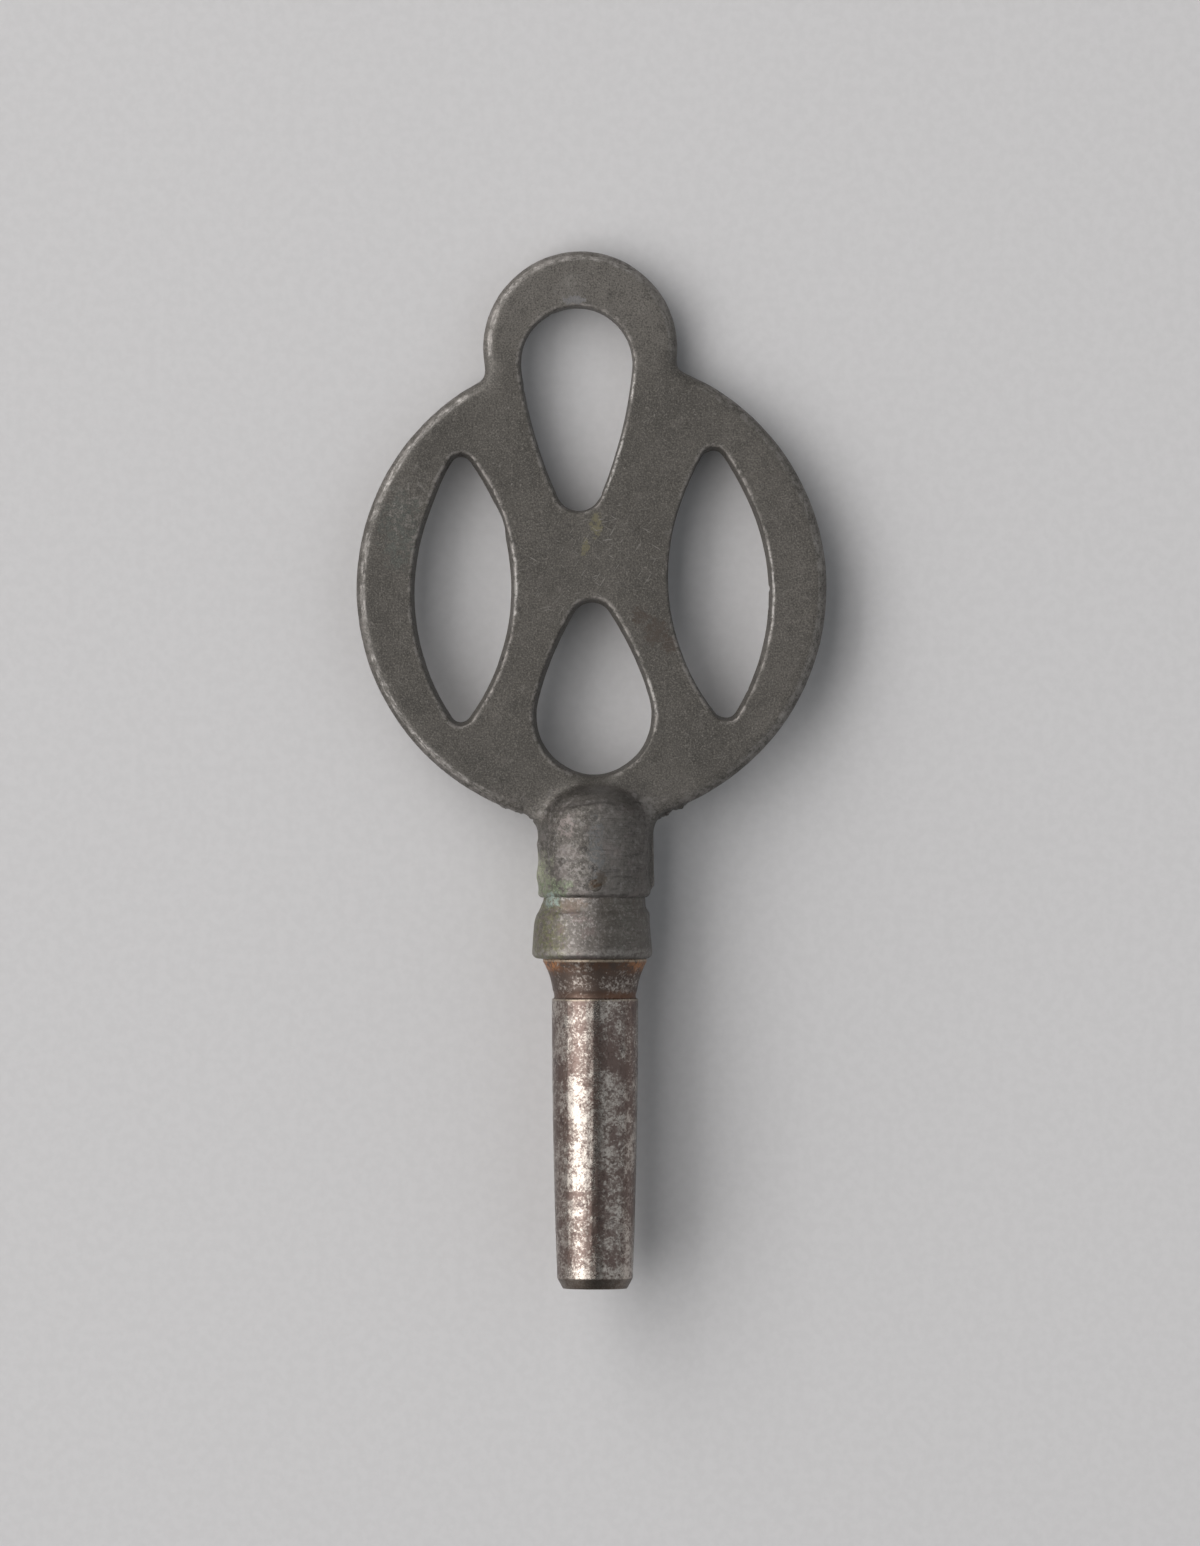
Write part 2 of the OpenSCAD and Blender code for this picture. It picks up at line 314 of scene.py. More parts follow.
def bake_modifiers(piece):
    """Replaces a piece's mesh by the result of its modifiers."""
    graph = bpy.context.evaluated_depsgraph_get()
    made = bpy.data.meshes.new_from_object(piece.evaluated_get(graph))
    made.name = piece.name
    piece.modifiers.clear()
    piece.data = made


def store_bulge(mesh, pairs):
    """Stores how far, in millimetres, each vertex stands out from its surroundings."""
    co = vertex_array(mesh)
    bulge = ((co - relaxed(co, pairs, BULGE_PASSES)) * normal_array(mesh)).sum(axis=1) / MM
    mesh.attributes.new("bulge", "FLOAT", "POINT").data.foreach_set("value", bulge)


def wear_casting(mesh, pairs):
    """Swells the openings' walls, crowns the border, melts the boss into the plate, and wears the skin."""
    co = vertex_array(mesh)
    mm = co / MM
    inside = np.max([radius - planar(mm, centre) for centre, radius in (ROUND_MM, LOOP_MM)], axis=0)
    co = pushed(mesh, co, wall_swell(mm, normal_array(mesh), inside))
    for end, move in EYE_ENDS_MM:
        moved = ramp(planar(mm, end), 5.0, 0.4) * ramp(inside, 0.8, 2.5)
        co[:, :2] += moved[:, None] * np.array(move) * MM
    border = np.clip(1 - inside / CROWN_MM, 0, 1) ** 2 * ramp(mm[:, 1], 33.0, 36.0)
    co[:, 2] *= 1 - CROWN_DROP * border
    co = relaxed(co, pairs, CORNER_PASSES, RELAX_SHARE * melted_corners(mm)[:, None])
    place_vertices(mesh, co)
    place_vertices(mesh, pushed(mesh, co, casting_skin(co / MM, normal_array(mesh))))


def wall_swell(mm, normals, inside):
    """How far the openings' walls swell towards the plate's middle plane."""
    in_opening = ramp(inside, 1.4, 2.0) * ramp(mm[:, 1], 35.4, 35.7) * ramp(np.abs(normals[:, 2]), 0.9, 0.4)
    centre, _ = ROUND_MM
    inward = -((mm[:, :2] - centre) * normals[:, :2]).sum(axis=1) / planar(mm, centre)
    inner_wall = (1 - ramp(inward, -0.7, 0.7)) * ramp(mm[:, 0], 2.0, 4.5)
    hanging_eye = ramp(np.abs(mm[:, 0] - HANGING_EYE_X_MM), 5.6, 5.0) * ramp(mm[:, 1], 52.4, 53.4)
    lack = (1 - INNER_WALL_LACK * inner_wall) * (1 - HANGING_EYE_LACK * hanging_eye)
    return WALL_SWELL_MM * in_opening * lack * np.clip(1 - np.abs(mm[:, 2]) / FACE_MM, 0, 1)


def melted_corners(mm):
    """Mask of the corners between the boss and the plate, and between the loop and the round part."""
    at_foot = ramp(mm[:, 1], 31.2, 32.4) * ramp(mm[:, 1], 36.3, 35.6)
    soft = at_foot * ramp(np.abs(mm[:, 0]), 5.6, 4.2) * ramp(np.abs(mm[:, 2]), 3.4, 2.2)
    for corner in LOOP_CORNERS_MM:
        soft = np.maximum(soft, ramp(planar(mm, corner), 2.2, 1.2))
    return soft


def casting_skin(mm, normals):
    """How far the casting's skin stands out: lumps, pits, crust, the arc on the boss, flash and nicks."""
    push = uneven(mm, CASTING_LUMPS)
    on_boss = ramp(mm[:, 1], 34.6, 33.6)
    pits = np.clip(lumps(mm, 0.45, 29) - 0.35, 0, 1)
    push += on_boss * (uneven(mm, BOSS_LUMPS) - SKIN_PITS_MM * pits)
    crust = ramp(mm[:, 0], -3.5, -3.9) * ramp(mm[:, 1], 31.6, 31.0)
    push += crust * (BOSS_CRUST_MM + 0.1 * lumps(mm, 0.7, 37))

    arc = planar(mm, ARC_CENTRE_MM) + 0.2 * lumps(mm, 1.2, 31)
    ridge = ARC_RIDGE_HEIGHT_MM * np.exp(-((arc - ARC_RIDGE_MM) / 0.3) ** 2)
    line = ARC_LINE_DEPTH_MM * np.exp(-((arc - ARC_LINE_MM) / 0.14) ** 2)
    on_end = ramp(mm[:, 1], 32.6, 33.4) * ramp(np.abs(mm[:, 0] + 0.7), 2.0, 0.6)
    push += on_end * ramp(normals[:, 2], 0.2, 0.5) * (ridge - line)

    rim = ramp(np.abs(normals[:, 2]), 0.75, 0.3)
    ragged = np.clip(lumps(mm, 0.6, 47) + 0.5 * lumps(mm, 0.25, 53) + 0.1, 0, 1)
    from_foot = np.abs(np.abs(mm[:, 0]) - PLATE_FOOT_MM[0]), np.abs(mm[:, 1] - PLATE_FOOT_MM[1])
    flash = ramp(from_foot[0], 1.5, 0.7) * ramp(from_foot[1], 1.3, 0.7) * ramp(np.abs(mm[:, 2]), 0.7, 0.3)
    push += FLASH_MM * rim * flash * ragged
    nicks = np.clip(lumps(mm, 0.7, 61) - 0.45, 0, 1)
    return push - NICKS_MM * rim * nicks * ramp(mm[:, 1], 32.0, 34.0)


def wear_ferrule(mesh, pairs):
    """Softens and partly fills the groove, closes it up against the boss, and sets the uneven ring askew."""
    co = vertex_array(mesh)
    mm = co / MM
    up = mm[:, 1] - SEAM_MM
    outer = ramp(np.hypot(mm[:, 0], mm[:, 2]), 2.8, 3.1)
    groove = outer * ramp(up, -1.95, -1.35)
    co = relaxed(co, pairs, GROOVE_PASSES, RELAX_SHARE * (groove * ramp(up, 0.0, -0.25))[:, None])
    place_vertices(mesh, co)

    mm = co / MM
    up = mm[:, 1] - SEAM_MM
    push = uneven(mm, FERRULE_LUMPS)
    front = ramp(mm[:, 2], 0.6, 2.2) * ramp(up, -1.05, -0.45)
    push += GROOVE_FILLING_MM * groove * front * np.clip(0.8 + 0.5 * lumps(mm, 1.1, 77), 0, 1)
    left = outer * ramp(mm[:, 0], -1.6, -3.0) * ramp(up, -1.05, -0.55)
    push += GROOVE_CRUST_MM * left * np.clip(0.6 + lumps(mm, 0.8, 79), 0, 1)
    co = pushed(mesh, co, push)
    co[:, 0] -= FERRULE_SHIFT_MM * MM * ramp(up, -0.05, -1.85)
    co[:, 1] += GROOVE_CLOSING_MM * MM * ramp(up, -0.45, -0.05)
    place_vertices(mesh, co)


def wear_pipe(mesh, pairs):
    """Deepens the corner of the step under the neck and makes the outside a little uneven."""
    co = vertex_array(mesh)
    mm = co / MM
    up = mm[:, 1] - NECK_FOOT_MM
    radius = np.hypot(mm[:, 0], mm[:, 2])
    corner = ramp(up, -0.03, 0.03) * ramp(up, 0.7, 0.2)
    push = ramp(radius, 2.4, 2.6) * (uneven(mm, PIPE_LUMPS) - NECK_CORNER_MM * corner)
    co[:, ::2] *= (1 + push / radius.clip(1))[:, None]
    place_vertices(mesh, co)


def wear_pin(mesh, pairs):
    """Leaves the pin's ends a trace proud of the boss."""
    resize(mesh, PIN_PROUD)


# Materials


class Material:
    """A node tree with short calls for the nodes that the metals share."""

    def __init__(self, name):
        self.material = bpy.data.materials.new(name)
        self.material.use_nodes = True
        self.tree = self.material.node_tree
        self.shader = self.tree.nodes["Principled BSDF"]
        coords = self.add("ShaderNodeTexCoord")
        self.mm = self.vector("SCALE", coords.outputs["Object"], scale=1 / MM)
        split = self.add("ShaderNodeSeparateXYZ", Vector=self.mm)
        self.x, self.y, self.z = split.outputs

    def add(self, kind, **inputs):
        node = self.tree.nodes.new(kind)
        for key, value in inputs.items():
            self.put(node.inputs[key], value)
        return node

    def put(self, socket, value):
        if isinstance(value, bpy.types.NodeSocket):
            self.tree.links.new(value, socket)
        else:
            socket.default_value = value

    def set(self, **inputs):
        """Sets inputs of the shader, with underscores for the spaces in their names."""
        for key, value in inputs.items():
            self.put(self.shader.inputs[key.replace("_", " ")], value)

    def vector(self, operation, a, b=None, scale=None):
        node = self.add("ShaderNodeVectorMath")
        node.operation = operation
        self.put(node.inputs[0], a)
        if b is not None:
            self.put(node.inputs[1], b)
        if scale is not None:
            self.put(node.inputs["Scale"], scale)
        return node.outputs["Value" if operation == "LENGTH" else "Vector"]

    def math(self, operation, a, b=0.0):
        node = self.add("ShaderNodeMath")
        node.operation = operation
        self.put(node.inputs[0], a)
        self.put(node.inputs[1], b)
        return node.outputs[0]

    def joined(self, operation, numbers):
        """One number from several, by an operation on two."""
        result = numbers[0]
        for number in numbers[1:]:
            result = self.math(operation, result, number)
        return result

    def times(self, *factors):
        """The product of several masks or numbers."""
        return self.joined("MULTIPLY", factors)

    def plus(self, *numbers):
        """The sum of several numbers."""
        return self.joined("ADD", numbers)

    def most(self, *masks):
        """The largest of several masks."""
        return self.joined("MAXIMUM", masks)

    def apart(self, number, middle):
        """How far a number lies from a middle value."""
        return self.math("ABSOLUTE", self.math("SUBTRACT", number, middle))

    def steps(self, factor, low, high):
        """0 below low, 1 above high, smooth between; high may be below low."""
        node = self.add("ShaderNodeMapRange")
        node.interpolation_type = "SMOOTHSTEP"
        self.put(node.inputs["Value"], factor)
        node.inputs["From Min"].default_value = low
        node.inputs["From Max"].default_value = high
        return node.outputs["Result"]

    def between(self, factor, low, high):
        """A number from low to high as factor goes from 0 to 1."""
        node = self.add("ShaderNodeMapRange")
        self.put(node.inputs["Value"], factor)
        node.inputs["To Min"].default_value = low
        node.inputs["To Max"].default_value = high
        return node.outputs["Result"]

    def mix(self, factor, a, b, blend="MIX"):
        node = self.tree.nodes.new("ShaderNodeMix")
        node.data_type = "RGBA"
        node.blend_type = blend
        self.put(node.inputs["Factor"], factor)
        self.put(node.inputs[6], self.colour(a))
        self.put(node.inputs[7], self.colour(b))
        return node.outputs[2]

    @staticmethod
    def colour(value):
        return value if isinstance(value, bpy.types.NodeSocket) else (*value, 1.0)

    def tint(self, tone, colour, *masks):
        """A tone turned into a colour as far as the product of masks and shares says."""
        return self.mix(self.times(*masks), tone, colour)

    def noise(self, size_mm, detail=3.0, rough=0.55, stretch=(1, 1, 1)):
        place = self.vector("MULTIPLY", self.mm, tuple(1 / (size_mm * s) for s in stretch))
        node = self.add("ShaderNodeTexNoise", Vector=place, Scale=1.0, Detail=detail, Roughness=rough)
        return node.outputs["Fac"]

    def ragged(self, factor, size_mm, reach):
        """A number roughened by up to a reach, for uneven borders."""
        return self.math("ADD", factor, self.between(self.noise(size_mm, 5, 0.7), -reach, reach))

    def near(self, point_mm, radius_mm, ragged_mm, stretch=(1, 1, 1)):
        """1 within a radius of a point of the key, with a ragged border; stretch lengthens the spot."""
        way = self.vector("SUBTRACT", self.mm, point_mm)
        away = self.vector("LENGTH", self.vector("DIVIDE", way, stretch))
        return self.steps(self.ragged(away, ragged_mm, 1.5 * radius_mm), radius_mm * 1.25, radius_mm * 0.75)

    def planar(self, centre_mm):
        """The way to a point from a place on the key's front, whatever its height."""
        return self.vector("MULTIPLY", self.vector("SUBTRACT", self.mm, (*centre_mm, 0)), (1, 1, 0))

    def strokes(self, angle, long_mm, wide_mm):
        """Mask of sparse short strokes that run at an angle across the key's front."""
        node = self.add("ShaderNodeMapping", Vector=self.mm, Rotation=(0, 0, math.radians(angle)),
                        Scale=(long_mm, wide_mm, 1.0))
        node.vector_type = "TEXTURE"
        grain = self.add("ShaderNodeTexNoise", Vector=node.outputs["Vector"], Scale=1.0, Detail=1.0)
        return self.steps(grain.outputs["Fac"], 0.69, 0.75)

    def cells(self, size_mm, grain_mm, reach_mm):
        """Voronoi cells of a size, their borders bent by noise of a grain, up to a reach."""
        finer = self.vector("SCALE", self.mm, scale=1 / grain_mm)
        shift = self.add("ShaderNodeTexNoise", Vector=finer, Scale=1.0).outputs["Color"]
        bent = self.vector("ADD", self.mm, self.vector("SCALE", shift, scale=reach_mm))
        place = self.vector("SCALE", bent, scale=1 / size_mm)
        return self.add("ShaderNodeTexVoronoi", Vector=place, Scale=1.0)

    def cracks(self, size_mm, width):
        """Mask of fine lines between irregular cells."""
        node = self.cells(size_mm, size_mm, 0.8 * size_mm)
        node.feature = "DISTANCE_TO_EDGE"
        return self.steps(node.outputs["Distance"], width, width * 0.3)

    def flakes(self, size_mm):
        """A random number for each of many small ragged cells."""
        node = self.cells(size_mm, 0.6 * size_mm, 0.6 * size_mm)
        return self.add("ShaderNodeSeparateColor", Color=node.outputs["Color"]).outputs["Red"]

    def bulge(self, low, high):
        """Mask of the outer edges, or of the hollows if the numbers are negative."""
        node = self.add("ShaderNodeAttribute")
        node.attribute_name = "bulge"
        return self.steps(node.outputs["Fac"], low, high)

    def bump(self, height, depth_mm, normal=None):
        node = self.add("ShaderNodeBump", Height=height, Strength=1.0, Distance=depth_mm * MM)
        if normal is not None:
            self.put(node.inputs["Normal"], normal)
        return node.outputs["Normal"]


def verdigris(m, tone, where, amount, colour=(0.130, 0.160, 0.098)):
    """Green corrosion in ragged specks over a place, with paler crumbs and dark gaps in it."""
    specks = m.steps(m.noise(0.36, 6, 0.78), 0.45, 0.54)
    crumbs = m.steps(m.noise(0.22, 4, 0.7), 0.54, 0.62)
    gaps = m.steps(m.noise(0.27, 4, 0.7), 0.54, 0.64)
    tone = m.tint(tone, colour, where, specks, amount)
    tone = m.tint(tone, tuple(1.6 * c + 0.03 for c in colour), where, specks, crumbs, 0.6)
    return m.tint(tone, (0.060, 0.050, 0.042), where, gaps, 0.5)


def mint_crumbs(m, tone):
    """The pale green crumbs in the left end of the seam between boss and ferrule."""
    place = m.near((-3.0, SEAM_MM - 0.15, 2.2), 0.7, 0.4, (1.1, 0.7, 1.2))
    return m.tint(tone, (0.26, 0.32, 0.285), place, m.steps(m.noise(0.3, 5, 0.75), 0.38, 0.54), 0.85)


def mottled(m, tone, where, pale, dark, size_mm):
    """Ragged pale and dark specks over a place."""
    specks = m.plus(m.times(m.noise(size_mm, 6, 0.72), 0.76), m.times(m.flakes(0.5 * size_mm), 0.24))
    tone = m.tint(tone, pale, where, m.steps(specks, 0.52, 0.68), 0.7)
    return m.tint(tone, dark, where, m.steps(specks, 0.46, 0.31), 0.6)


def casting_metal():
    """Grey patina with a fine granular skin, stained and worn on the plate, mottled and green on the boss,
    with painted highlight on the rim, the openings' edges and the boss, and painted shade on the boss's end.
    """
    m = Material("cast_metal")
    grain = m.noise(0.12, 2, 0.6)
    specks = m.noise(0.32, 5, 0.7)
    patches = m.noise(1.3, 5, 0.7)
    boss = m.times(m.steps(m.ragged(m.y, 1.0, 0.8), 35.8, 34.2), m.steps(m.z, 0.9, 1.4))

    tone = granular_grey(m, grain, specks, patches)
    tone = plate_stains(m, tone, specks)
    tone = boss_patina(m, tone, boss, specks, patches)
    tone = boss_arc_painted_light(m, tone)
    tone, worn = worn_and_lit_edges(m, tone, boss, specks)
    tone = boss_corrosion(m, tone, specks)

    dull = m.between(m.noise(1.2, 4), 0.44, 0.56)
    m.set(Base_Color=tone, Metallic=m.most(m.between(boss, 0.3, 0.55), m.times(worn, 0.7)))
    m.set(Roughness=m.math("SUBTRACT", dull, m.times(worn, 0.14)))
    m.set(Normal=m.bump(patches, 0.04, m.bump(specks, 0.026, m.bump(grain, 0.018))))
    return m.material


def granular_grey(m, grain, specks, patches):
    """The whole casting's skin, a little paler on the loop and towards the right."""
    clouds = m.steps(m.noise(5, 6, 0.62), 0.3, 0.7)
    tone = m.mix(clouds, (0.064, 0.0584, 0.0508), (0.094, 0.0858, 0.0752))
    tone = m.tint(tone, (0.142, 0.130, 0.117), m.steps(m.y, 61.0, 71.0), 0.65)
    tone = m.tint(tone, (0.120, 0.109, 0.098), m.steps(m.x, 6.0, 14.0), 0.25)
    tone = m.tint(tone, (0.047, 0.0430, 0.0378), m.steps(patches, 0.52, 0.68), 0.55)
    tone = m.tint(tone, (0.031, 0.027, 0.0230), m.steps(grain, 0.50, 0.68), 0.66)
    tone = m.tint(tone, (0.168, 0.153, 0.134), m.steps(grain, 0.48, 0.32), 0.58)
    tone = m.tint(tone, (0.128, 0.116, 0.104), m.steps(patches, 0.44, 0.28), 0.4)
    tone = m.tint(tone, (0.205, 0.190, 0.172), m.steps(specks, 0.58, 0.72), 0.55)
    return m.tint(tone, (0.27, 0.255, 0.235), m.steps(m.noise(0.4, 3, 0.7), 0.68, 0.76), 0.5)


def plate_stains(m, tone, specks):
    """Rubbed, bluish, green, brown and brassy places on the bow's face, and scuffs on its web."""
    rubbed = m.near(on_face(-1.75, 70.0), 0.9, 0.8, (1.2, 1.1, 1))
    tone = m.tint(tone, (0.20, 0.187, 0.172), rubbed, m.steps(specks, 0.36, 0.60), 0.35)
    bluish = m.near(on_face(-1.45, 69.15), 0.4, 0.3, (1.6, 0.7, 1))
    tone = m.tint(tone, (0.20, 0.20, 0.212), bluish, 0.45)
    green = m.near(on_face(-13.6, 53.0), 1.6, 0.7, (0.8, 1.5, 1))
    tone = m.tint(tone, (0.085, 0.108, 0.098), green, m.steps(specks, 0.58, 0.44), 0.3)
    pale = m.near(on_face(-12.8, 54.6), 1.8, 0.7, (0.8, 1.5, 1))
    tone = m.tint(tone, (0.21, 0.197, 0.182), pale, m.steps(specks, 0.50, 0.62), 0.4)
    crumbs = m.near(on_face(-13.6, 53.8), 1.3, 0.6, (0.8, 1.5, 1))
    tone = m.tint(tone, (0.29, 0.28, 0.26), crumbs, m.steps(m.noise(0.3, 3, 0.6), 0.58, 0.66), 0.6)
    broken = m.between(m.steps(specks, 0.40, 0.56), 0.35, 0.8)
    for place, radius in BROWN_SMEARS_MM:
        tone = m.tint(tone, (0.056, 0.042, 0.033), m.near(on_face(*place), radius, 0.4), broken)
    for place, radius in BRASSY_SPOTS_MM:
        brassy = m.near(on_face(*place), radius, 0.3, (0.6, 1.3, 1))
        tone = m.tint(tone, (0.145, 0.130, 0.076), brassy, m.steps(specks, 0.36, 0.5), 0.85)
    handled = m.between(m.near(on_face(-0.7, 51.0), 5.0, 1.5, (1.2, 0.8, 1)), 0.16, 0.5)
    for angle, long_mm in SCUFFS:
        tone = m.tint(tone, (0.26, 0.245, 0.228), m.strokes(angle, long_mm, SCUFF_WIDTH_MM), handled)
    return tone


def boss_patina(m, tone, boss, specks, patches):
    """The boss: mottled, with marks of turning, small patches and dark pits; painted light makes it paler at
    the right and down its middle, and painted highlight adds a pink-grey spot and pale specks on its lit
    left.
    """
    # Painted light: the boss's right half is lightened, and a band down its middle more, standing in for the
    # light on it.
    tone = m.tint(tone, (0.144, 0.132, 0.121), boss, m.steps(m.x, -1.2, 1.6), 0.6)
    tone = mottled(m, tone, boss, (0.205, 0.190, 0.183), (0.038, 0.032, 0.029), 0.42)
    middle = m.times(boss, m.steps(m.x, -0.8, 0.3), m.steps(m.x, 2.2, 1.0))
    tone = m.tint(tone, (0.19, 0.179, 0.169), middle, 0.3)
    turning = m.noise(0.3, 4, 0.65, (6, 0.7, 6))
    tone = m.tint(tone, (0.052, 0.045, 0.042), boss, m.steps(turning, 0.50, 0.64), 0.5)
    tone = m.tint(tone, (0.180, 0.156, 0.148), boss, m.steps(patches, 0.50, 0.36), 0.45)
    bluish = m.near((0.1, 30.8, 3.9), 0.8, 0.5, (0.7, 2.4, 1))
    tone = m.tint(tone, (0.150, 0.158, 0.164), bluish, m.steps(specks, 0.60, 0.44), 0.5)
    # Painted highlight: a pink-grey spot where the upper left of the boss faces the light.
    pinkish_highlight = m.near((-2.0, 32.3, 3.3), 0.7, 0.4, (1, 1.1, 1))
    tone = m.tint(tone, (0.25, 0.21, 0.20), pinkish_highlight, m.steps(specks, 0.42, 0.54), 0.5)
    # Painted highlight: pale specks on the lower left of the boss, where it faces the light.
    light = m.near((-1.1, 29.7, 3.8), 1.6, 0.6, (1.1, 1, 1))
    tone = m.tint(tone, (0.27, 0.252, 0.238), light, m.steps(specks, 0.48, 0.60), 0.4)
    fillet = m.near((3.8, 33.6, 1.3), 0.7, 0.4, (1, 1.4, 1))
    tone = m.tint(tone, (0.20, 0.188, 0.176), fillet, m.steps(specks, 0.40, 0.56), 0.5)
    broken = m.steps(m.noise(0.2, 4, 0.7), 0.40, 0.56)
    for place, radius in DARK_PITS_MM:
        tone = m.tint(tone, (0.030, 0.026, 0.024), m.near(place, radius, 0.25), broken, 0.8)
    return tone


def boss_arc_painted_light(m, tone):
    """The boss's upper end with painted light along the fine arc: painted shade beyond it, a painted
    highlight on its ridge and painted shade in the line along it.
    """
    arc = m.ragged(m.vector("LENGTH", m.planar(ARC_CENTRE_MM)), 0.8, 0.2)
    end = m.times(m.steps(m.z, 1.4, 2.0), m.steps(m.y, 32.9, 33.5))
    middle = m.times(end, m.steps(m.apart(m.x, -0.4), 2.6, 1.2))
    ridge = m.steps(m.apart(arc, ARC_RIDGE_MM - 0.15), 0.25, 0.06)
    line = m.steps(m.apart(arc, ARC_LINE_MM), 0.15, 0.05)
    # Painted shade: the end beyond the arc is darkened.
    tone = m.tint(tone, (0.055, 0.050, 0.045), end, m.steps(arc, ARC_LINE_MM - 0.25, ARC_LINE_MM + 0.35), 0.2)
    # Painted highlight on the ridge, then painted shade in the line pressed in below it.
    tone = m.tint(tone, (0.160, 0.147, 0.136), middle, ridge, 0.3)
    return m.tint(tone, (0.040, 0.035, 0.032), middle, line, 0.45)


def worn_and_lit_edges(m, tone, boss, specks):
    """The tone with bright worn edges and dark hollows, and the mask of the worn metal; the rim's bright
    band, lightened most on the left, and the pale stretches of the openings' right-hand edges are partly
    painted highlight.
    """
    worn_and_lit_streaks = rim_wear_and_highlight(m)
    stretches = m.steps(m.noise(3.0, 3), 0.36, 0.54)
    edges = m.times(m.bulge(0.025, 0.06), stretches, m.steps(m.noise(0.6, 6, 0.78), 0.44, 0.56))
    worn = m.most(m.times(edges, m.between(boss, 0.8, 0.15)), worn_and_lit_streaks)
    tone = m.tint(tone, (0.33, 0.306, 0.288), worn, 0.6)
    # Partly painted highlight: the rim's band is lightened further, most on the left where the light falls.
    tone = m.tint(tone, (0.46, 0.435, 0.415), worn_and_lit_streaks, 0.5)
    # Painted highlight as well as wear: pale metal on the listed stretches of the openings' right-hand edges,
    # where they face the light.
    handled = m.most(*(m.near(on_face(*place), radius, 0.7, stretch)
                       for place, radius, stretch in LIT_POLISHED_EDGES_MM))
    polish_and_highlight = m.times(handled, m.bulge(0.04, 0.07), m.steps(specks, 0.38, 0.56))
    tone = m.tint(tone, (0.46, 0.44, 0.42), polish_and_highlight, 0.6)
    tone = m.tint(tone, (0.036, 0.032, 0.029), m.bulge(-0.03, -0.09), 0.45)
    return tone, m.most(worn, m.times(polish_and_highlight, 0.6))


def rim_wear_and_highlight(m):
    """Mask of the worn, streaky band along the bow's outline, drawn out round its two circles; partly painted
    highlight.

    It fades at the corners between the circles, and towards the right, so that it is brightest on the left,
    where the light falls.
    """
    insides, grains = [], []
    for centre, radius in (ROUND_MM, LOOP_MM):
        way = m.planar(centre)
        inside = m.math("SUBTRACT", radius, m.vector("LENGTH", way))
        split = m.add("ShaderNodeSeparateXYZ", Vector=way)
        arc = m.times(m.math("ARCTAN2", split.outputs["X"], split.outputs["Y"]), radius / 0.8)
        place = m.add("ShaderNodeCombineXYZ", X=arc, Y=m.times(inside, 6.0)).outputs["Vector"]
        grain = m.add("ShaderNodeTexNoise", Vector=place, Scale=1.0, Detail=5.0, Roughness=0.7)
        insides.append(inside)
        grains.append(grain.outputs["Fac"])
    on_loop = m.math("GREATER_THAN", insides[1], insides[0])
    on_round = m.math("SUBTRACT", 1.0, on_loop)
    grain = m.plus(m.times(grains[0], on_round), m.times(grains[1], on_loop))
    inside = m.most(*insides)
    band = m.times(m.steps(inside, 0.20, 0.34), m.steps(inside, 0.72, 0.48))
    crumbs = m.between(m.steps(m.noise(0.25, 4, 0.7), 0.42, 0.58), 0.4, 1.0)
    worn_and_lit_streaks = m.times(band, m.steps(grain, 0.42, 0.62), crumbs)
    worn_and_lit_streaks = m.times(worn_and_lit_streaks, m.steps(m.noise(2.4, 3), 0.32, 0.50), m.steps(m.y, 34.0, 35.5))
    # Painted highlight: the band fades towards the right, so that it is brightest on the left, where the
    # light falls.
    worn_and_lit_streaks = m.times(worn_and_lit_streaks, m.between(m.steps(m.x, -2.0, 8.0), 1.0, 0.35))
    for corner in LOOP_CORNERS_MM:
        worn_and_lit_streaks = m.times(worn_and_lit_streaks, m.steps(m.vector("LENGTH", m.planar(corner)), 0.8, 2.2))
    return worn_and_lit_streaks


def boss_corrosion(m, tone, specks):
    """Buff and green crust down the boss's left side and along the seam, and a rust spot over the pin."""
    left = m.steps(m.ragged(m.ragged(m.x, 0.9, 1.6), 0.3, 0.8), -2.8, -3.6)
    low = m.steps(m.ragged(m.y, 1.4, 1.5), 30.9, 29.9)
    crust = m.times(left, low)
    tone = m.tint(tone, (0.30, 0.29, 0.245), crust, m.between(m.steps(specks, 0.62, 0.42), 0.25, 0.75))
    tone = verdigris(m, tone, crust, 0.7, (0.205, 0.225, 0.140))
    near_seam = m.times(m.steps(m.y, 29.0, 28.2), m.steps(m.ragged(m.x, 1.0, 2.0), -1.3, -2.2))
    tone = verdigris(m, tone, near_seam, 0.6)
    tone = mint_crumbs(m, tone)
    rust = m.near((0.4, 28.7, 3.9), 0.42, 0.3, (0.8, 1.2, 1))
    return m.tint(tone, (0.064, 0.046, 0.030), rust, 0.55)


